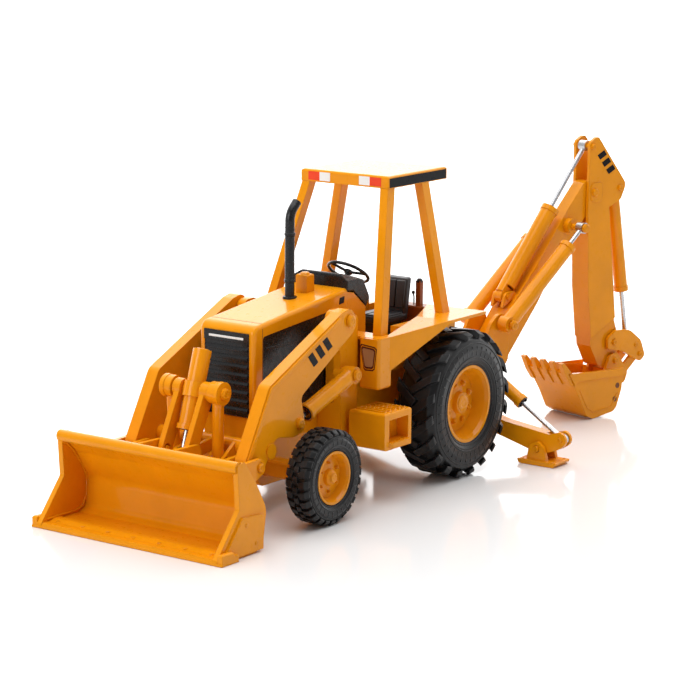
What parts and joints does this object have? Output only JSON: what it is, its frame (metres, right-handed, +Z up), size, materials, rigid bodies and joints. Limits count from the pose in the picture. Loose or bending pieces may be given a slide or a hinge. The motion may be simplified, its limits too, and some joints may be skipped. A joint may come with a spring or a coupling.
{
  "type": "toy backhoe loader",
  "caption": "Orange toy backhoe loader with front bucket, open canopy, swinging rear digger arm and folding stabilizer legs.",
  "frame": {"origin": "middle of the overall box in X and Y, on the ground", "axes": "+X towards the loader bucket, +Y to the left of the machine, +Z up"},
  "size_m": [0.1472, 0.0608, 0.0564],
  "materials": {
    "painted_orange": "gloss",
    "tyre_rubber": "matte",
    "black_plastic": "satin",
    "bright_steel": "polished",
    "pin_steel": "gloss",
    "axle_steel": "gloss"
  },
  "bodies": {
    "machine": {"chassis_frame": "painted_orange", "front_axle": "axle_steel", "rear_axle": "axle_steel", "hood": "painted_orange", "grille": "black_plastic", "hood_panels": "black_plastic", "exhaust_stack": "black_plastic", "pre_cleaner": "painted_orange", "loader_towers": "painted_orange", "frame_pins": "pin_steel", "rear_frame": "painted_orange", "cab_platform": "painted_orange", "dash_cowl": "black_plastic", "steering_wheel": "black_plastic", "seat": "black_plastic", "control_console": "painted_orange", "step_boxes": "painted_orange", "canopy_posts": "painted_orange", "canopy_roof": "painted_orange"},
    "front_wheel_left": {"front_tyre_left": "tyre_rubber", "front_rim_left": "painted_orange"},
    "front_wheel_right": {"front_tyre_right": "tyre_rubber", "front_rim_right": "painted_orange"},
    "rear_wheel_left": {"rear_tyre_left": "tyre_rubber", "rear_rim_left": "painted_orange"},
    "rear_wheel_right": {"rear_tyre_right": "tyre_rubber", "rear_rim_right": "painted_orange"},
    "arms": {"loader_arms": "painted_orange", "arm_pins": "pin_steel"},
    "lift_barrel": {"lift_barrels": "painted_orange"},
    "lift_rod": {"lift_rods": "bright_steel"},
    "bucket": {"loader_bucket": "painted_orange"},
    "tilt_lever": {"tilt_levers": "painted_orange"},
    "tilt_link": {"tilt_links": "painted_orange"},
    "tilt_cylinder": {"tilt_barrel": "painted_orange"},
    "tilt_piston": {"tilt_rod": "bright_steel"},
    "swing": {"swing_post": "painted_orange"},
    "boom_body": {"boom": "painted_orange", "boom_pins": "pin_steel"},
    "boom_barrel": {"boom_barrels": "painted_orange"},
    "boom_rod": {"boom_rods": "bright_steel"},
    "stick_body": {"stick": "painted_orange", "stick_pins": "pin_steel"},
    "stick_cylinder": {"stick_barrel": "painted_orange"},
    "stick_piston": {"stick_rod": "bright_steel"},
    "hoe_bucket_body": {"hoe_bucket": "painted_orange", "hoe_teeth": "painted_orange"},
    "hoe_cylinder": {"hoe_barrel": "painted_orange"},
    "hoe_piston": {"hoe_rod": "bright_steel"},
    "half_moon": {"half_moon_links": "painted_orange"},
    "hoe_link": {"hoe_links": "painted_orange"},
    "leg_left": {"stab_leg_left": "painted_orange"},
    "pad_left": {"stab_pad_left": "painted_orange"},
    "leg_barrel_left": {"stab_barrel_left": "painted_orange"},
    "leg_rod_left": {"stab_rod_left": "bright_steel"},
    "leg_right": {"stab_leg_right": "painted_orange"},
    "pad_right": {"stab_pad_right": "painted_orange"},
    "leg_barrel_right": {"stab_barrel_right": "painted_orange"},
    "leg_rod_right": {"stab_rod_right": "bright_steel"}
  },
  "joints": [
    {"name": "front_wheel_left", "type": "hinge", "parent": "machine", "child": "front_wheel_left", "pos_m": [0.04222, 0.0174, 0.0082], "axis": [0, 1, 0], "continuous": true},
    {"name": "front_wheel_right", "type": "hinge", "parent": "machine", "child": "front_wheel_right", "pos_m": [0.04222, -0.0174, 0.0082], "axis": [0, 1, 0], "continuous": true},
    {"name": "rear_wheel_left", "type": "hinge", "parent": "machine", "child": "rear_wheel_left", "pos_m": [0.00022, 0.0156, 0.0135], "axis": [0, 1, 0], "continuous": true},
    {"name": "rear_wheel_right", "type": "hinge", "parent": "machine", "child": "rear_wheel_right", "pos_m": [0.00022, -0.0156, 0.0135], "axis": [0, 1, 0], "continuous": true},
    {"name": "lift", "type": "hinge", "parent": "machine", "child": "arms", "pos_m": [0.02882, 0, 0.0323], "axis": [0, -1, 0], "range_deg": [0, 48]},
    {"name": "lift_barrel_turn", "type": "hinge", "parent": "machine", "child": "lift_barrel", "pos_m": [0.02682, 0, 0.0224], "axis": [0, -1, 0], "range_deg": [-0.2, 43.87]},
    {"name": "lift_rod_turn", "type": "hinge", "parent": "arms", "child": "lift_rod", "pos_m": [0.04322, 0, 0.0169], "axis": [0, -1, 0], "range_deg": [-4.53, 0.2]},
    {"name": "bucket_tilt", "type": "hinge", "parent": "arms", "child": "bucket", "pos_m": [0.05582, 0, 0.0119], "axis": [0, -1, 0], "range_deg": [-45, 14]},
    {"name": "tilt_lever_turn", "type": "hinge", "parent": "arms", "child": "tilt_lever", "pos_m": [0.05482, 0, 0.011], "axis": [0, -1, 0], "range_deg": [-35.4, 11.15]},
    {"name": "tilt_link_turn", "type": "hinge", "parent": "tilt_lever", "child": "tilt_link", "pos_m": [0.05512, 0, 0.0231], "axis": [0, -1, 0], "range_deg": [-2.78, 1]},
    {"name": "tilt_cylinder_turn", "type": "hinge", "parent": "tilt_lever", "child": "tilt_cylinder", "pos_m": [0.05512, 0, 0.0231], "axis": [0, -1, 0], "range_deg": [-4.59, 1.56]},
    {"name": "tilt_piston_turn", "type": "hinge", "parent": "arms", "child": "tilt_piston", "pos_m": [0.05852, 0, 0.0126], "axis": [0, -1, 0], "range_deg": [-39.79, 12.52]},
    {"name": "swing_turn", "type": "hinge", "parent": "machine", "child": "swing", "pos_m": [-0.02128, 0, 0.014], "axis": [0, 0, 1], "range_deg": [-61.3, 88.7]},
    {"name": "boom_lift", "type": "hinge", "parent": "swing", "child": "boom_body", "pos_m": [-0.03158, 0.00251, 0.0152], "axis": [0.2368, 0.9715, 0], "range_deg": [-38, 16]},
    {"name": "boom_barrel_turn", "type": "hinge", "parent": "swing", "child": "boom_barrel", "pos_m": [-0.03216, 0.00265, 0.0222], "axis": [0.2368, 0.9715, 0], "range_deg": [-43.22, 18.32]},
    {"name": "boom_rod_turn", "type": "hinge", "parent": "boom_body", "child": "boom_rod", "pos_m": [-0.05159, 0.00739, 0.0392], "axis": [0.2368, 0.9715, 0], "range_deg": [-5.22, 2.31]},
    {"name": "stick_swing", "type": "hinge", "parent": "boom_body", "child": "stick_body", "pos_m": [-0.05781, 0.00891, 0.0454], "axis": [0.2368, 0.9715, 0], "range_deg": [-10, 45]},
    {"name": "stick_cylinder_turn", "type": "hinge", "parent": "boom_body", "child": "stick_cylinder", "pos_m": [-0.03566, 0.00351, 0.0267], "axis": [0.2368, 0.9715, 0], "range_deg": [-1.63, 6.65]},
    {"name": "stick_piston_turn", "type": "hinge", "parent": "stick_body", "child": "stick_piston", "pos_m": [-0.05713, 0.00874, 0.0546], "axis": [0.2368, 0.9715, 0], "range_deg": [-38.75, 8.77]},
    {"name": "hoe_curl", "type": "hinge", "parent": "stick_body", "child": "hoe_bucket_body", "pos_m": [-0.06461, 0.01056, 0.0104], "axis": [0.2368, 0.9715, 0], "range_deg": [-10, 75]},
    {"name": "half_moon_turn", "type": "hinge", "parent": "stick_body", "child": "half_moon", "pos_m": [-0.06403, 0.01042, 0.0143], "axis": [0.2368, 0.9715, 0], "range_deg": [-5.82, 42.36]},
    {"name": "hoe_link_turn", "type": "hinge", "parent": "half_moon", "child": "hoe_link", "pos_m": [-0.07151, 0.01224, 0.0109], "axis": [0.2368, 0.9715, 0], "range_deg": [-24.13, 3.39]},
    {"name": "hoe_cylinder_turn", "type": "hinge", "parent": "stick_body", "child": "hoe_cylinder", "pos_m": [-0.065, 0.01066, 0.0457], "axis": [0.2368, 0.9715, 0], "range_deg": [-0.29, 0.88]},
    {"name": "hoe_piston_turn", "type": "hinge", "parent": "half_moon", "child": "hoe_piston", "pos_m": [-0.07044, 0.01198, 0.0129], "axis": [0.2368, 0.9715, 0], "range_deg": [-41.68, 5.73]},
    {"name": "leg_left_turn", "type": "hinge", "parent": "machine", "child": "leg_left", "pos_m": [-0.01678, 0.0085, 0.008], "axis": [1, 0, 0], "range_deg": [0, 38]},
    {"name": "pad_left_turn", "type": "hinge", "parent": "leg_left", "child": "pad_left", "pos_m": [-0.01678, 0.0247, 0.003], "axis": [1, 0, 0], "range_deg": [-25, 25]},
    {"name": "leg_barrel_left_turn", "type": "hinge", "parent": "machine", "child": "leg_barrel_left", "pos_m": [-0.01678, 0.0085, 0.0185], "axis": [1, 0, 0], "range_deg": [-0.2, 32.19]},
    {"name": "leg_rod_left_turn", "type": "hinge", "parent": "leg_left", "child": "leg_rod_left", "pos_m": [-0.01678, 0.0292, 0.0051], "axis": [1, 0, 0], "range_deg": [-6.21, 0.2]},
    {"name": "leg_right_turn", "type": "hinge", "parent": "machine", "child": "leg_right", "pos_m": [-0.01678, -0.0085, 0.008], "axis": [-1, 0, 0], "range_deg": [0, 38]},
    {"name": "pad_right_turn", "type": "hinge", "parent": "leg_right", "child": "pad_right", "pos_m": [-0.01678, -0.0247, 0.003], "axis": [-1, 0, 0], "range_deg": [-25, 25]},
    {"name": "leg_barrel_right_turn", "type": "hinge", "parent": "machine", "child": "leg_barrel_right", "pos_m": [-0.01678, -0.0085, 0.0185], "axis": [-1, 0, 0], "range_deg": [-0.2, 32.19]},
    {"name": "leg_rod_right_turn", "type": "hinge", "parent": "leg_right", "child": "leg_rod_right", "pos_m": [-0.01678, -0.0292, 0.0051], "axis": [-1, 0, 0], "range_deg": [-6.21, 0.2]}
  ],
  "couplings": [
    {"joint": "lift_barrel_turn", "follows": "lift", "ratio": 0.9098},
    {"joint": "lift_rod_turn", "follows": "lift", "ratio": -0.0902},
    {"joint": "tilt_lever_turn", "follows": "bucket_tilt", "ratio": 0.7823},
    {"joint": "tilt_link_turn", "follows": "bucket_tilt", "ratio": 0.0574},
    {"joint": "tilt_cylinder_turn", "follows": "bucket_tilt", "ratio": 0.0975},
    {"joint": "tilt_piston_turn", "follows": "bucket_tilt", "ratio": 0.8798},
    {"joint": "boom_barrel_turn", "follows": "boom_lift", "ratio": 1.1322},
    {"joint": "boom_rod_turn", "follows": "boom_lift", "ratio": 0.1322},
    {"joint": "stick_cylinder_turn", "follows": "stick_swing", "ratio": 0.1434},
    {"joint": "stick_piston_turn", "follows": "stick_swing", "ratio": -0.8566},
    {"joint": "half_moon_turn", "follows": "hoe_curl", "ratio": 0.5621},
    {"joint": "hoe_link_turn", "follows": "hoe_curl", "ratio": -0.3191},
    {"joint": "hoe_cylinder_turn", "follows": "hoe_curl", "ratio": 0.009},
    {"joint": "hoe_piston_turn", "follows": "hoe_curl", "ratio": -0.5531},
    {"joint": "leg_barrel_left_turn", "follows": "leg_left_turn", "ratio": 0.8419},
    {"joint": "leg_rod_left_turn", "follows": "leg_left_turn", "ratio": -0.1581},
    {"joint": "leg_barrel_right_turn", "follows": "leg_right_turn", "ratio": 0.8419},
    {"joint": "leg_rod_right_turn", "follows": "leg_right_turn", "ratio": -0.1581}
  ]
}
